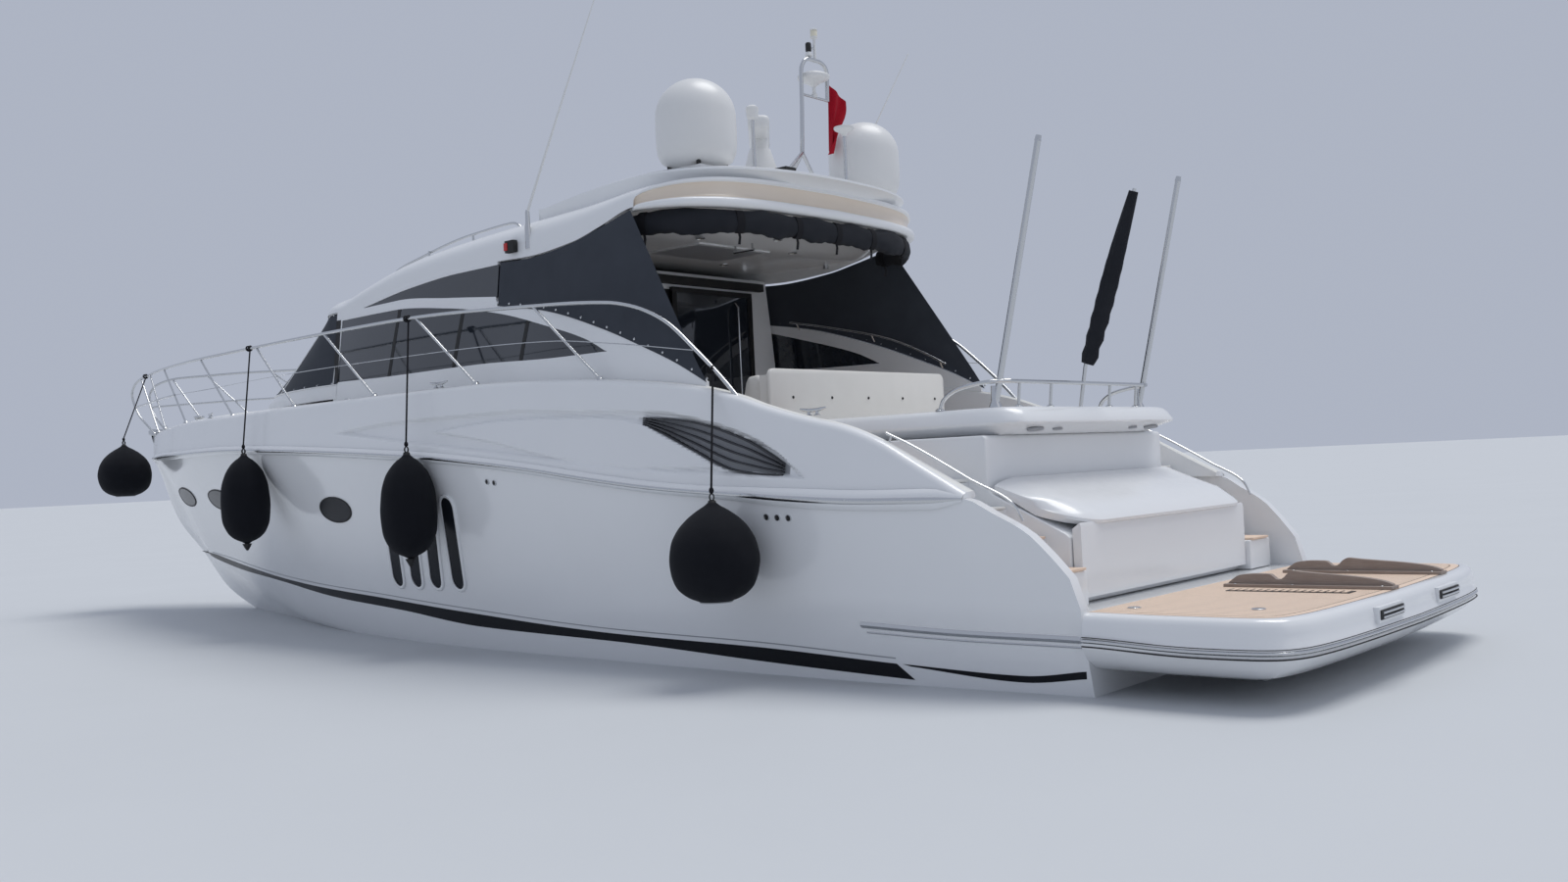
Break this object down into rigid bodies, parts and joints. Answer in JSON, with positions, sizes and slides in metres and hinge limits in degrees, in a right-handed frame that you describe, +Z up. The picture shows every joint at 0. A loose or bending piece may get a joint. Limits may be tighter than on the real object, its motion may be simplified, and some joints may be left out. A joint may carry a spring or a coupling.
{
  "type": "motor yacht",
  "caption": "Hardtop express motor yacht afloat, with swim platform, tender garage, enclosed saloon, open cockpit, pulpit rails, radar arch gear, fenders and twin shafts.",
  "frame": {"origin": "on the waterline, on the centreline, amidships", "axes": "+X to the bow, +Y to port, +Z up"},
  "size_m": [17.8461, 5.0956, 6.9061],
  "materials": {
    "hull_gelcoat": "polished gelcoat with a black boot stripe and antifouling",
    "deck_gelcoat": "polished gelcoat, non-slip where people walk",
    "strake_trim": "polished stainless cap on a white band",
    "teak": "weathered planks with dark caulking",
    "chock_wood": "oiled teak",
    "seat_vinyl": "cream vinyl with seams",
    "stainless": "polished tube",
    "tinted_glass": "dark tinted glass",
    "screen_mesh": "black mesh cover with white piping",
    "curtain_mesh": "charcoal mesh curtain",
    "canvas_black": "rolled black canvas",
    "hatch_acrylic": "smoked acrylic in a frame",
    "dome_white": "white moulded domes and scanner",
    "fender_cover": "dark knitted fender cover",
    "bronze": "cast bronze",
    "grille_grey": "grey louvres"
  },
  "bodies": {
    "boat": {"hull": "hull_gelcoat", "deck_moulding": "deck_gelcoat", "intake_grille_port": "grille_grey", "intake_grille_starboard": "grille_grey", "rubbing_strake": "strake_trim", "swim_platform": "deck_gelcoat", "platform_deck": "teak", "tender_chock_port": "chock_wood", "tender_chock_starboard": "chock_wood", "transom_body": "deck_gelcoat", "sunpad_base": "deck_gelcoat", "cockpit_sole": "teak", "cockpit_seat": "seat_vinyl", "sunpad_rail": "stainless", "deckhouse": "deck_gelcoat", "lower_side_glass_port": "tinted_glass", "lower_side_glass_starboard": "tinted_glass", "upper_side_glass_port": "tinted_glass", "upper_side_glass_starboard": "tinted_glass", "windscreen_cover": "screen_mesh", "side_curtain_port": "curtain_mesh", "side_curtain_starboard": "curtain_mesh", "hardtop": "deck_gelcoat", "radar_wing": "deck_gelcoat", "satellite_dome_port": "dome_white", "satellite_dome_starboard": "dome_white", "mast_frame": "stainless", "whip_aerial_port": "dome_white", "whip_aerial_starboard": "dome_white", "rolled_canvas": "canvas_black", "saloon_bulkhead": "deck_gelcoat", "guard_rail_port": "stainless", "guard_rail_starboard": "stainless", "fender_bow": "fender_cover", "fender_forward": "fender_cover", "fender_middle": "fender_cover", "fender_quarter": "fender_cover"},
    "garage_door": {"garage_door": "deck_gelcoat"},
    "sliding_door": {"sliding_door": "tinted_glass"},
    "foredeck_hatch": {"foredeck_hatch": "hatch_acrylic"},
    "radar_scanner": {"radar_scanner": "dome_white"},
    "propeller_port": {"propeller_port": "bronze"},
    "propeller_starboard": {"propeller_starboard": "bronze"},
    "rudder_port": {"rudder_port": "bronze"},
    "rudder_starboard": {"rudder_starboard": "bronze"}
  },
  "joints": [
    {"name": "garage_door_hinge", "type": "hinge", "parent": "boat", "child": "garage_door", "pos_m": [-6.53, 0, 1.385], "axis": [0, 1, 0], "range_deg": [0, 65]},
    {"name": "saloon_door_slide", "type": "slide", "parent": "boat", "child": "sliding_door", "axis": [0, 1, 0], "range_m": [0, 1.1]},
    {"name": "hatch_hinge", "type": "hinge", "parent": "boat", "child": "foredeck_hatch", "pos_m": [5.9, 0, 2.5804], "axis": [0, 1, 0], "range_deg": [0, 70]},
    {"name": "radar_turn", "type": "hinge", "parent": "boat", "child": "radar_scanner", "pos_m": [-3.42, 0.1, 4.6], "axis": [0, 0, 1], "continuous": true},
    {"name": "propeller_port_turn", "type": "hinge", "parent": "boat", "child": "propeller_port", "pos_m": [-6.38, 0.86, -0.84], "axis": [0.9889, 0, 0.1483], "continuous": true},
    {"name": "propeller_starboard_turn", "type": "hinge", "parent": "boat", "child": "propeller_starboard", "pos_m": [-6.38, -0.86, -0.84], "axis": [0.9889, 0, 0.1483], "continuous": true},
    {"name": "rudder_port_turn", "type": "hinge", "parent": "boat", "child": "rudder_port", "pos_m": [-7.05, 0.86, -0.5], "axis": [0, 0, 1], "range_deg": [-35, 35]},
    {"name": "rudder_starboard_turn", "type": "hinge", "parent": "boat", "child": "rudder_starboard", "pos_m": [-7.05, -0.86, -0.5], "axis": [0, 0, 1], "range_deg": [-35, 35]}
  ],
  "couplings": [
    {"joint": "rudder_starboard_turn", "follows": "rudder_port_turn", "ratio": 1}
  ]
}
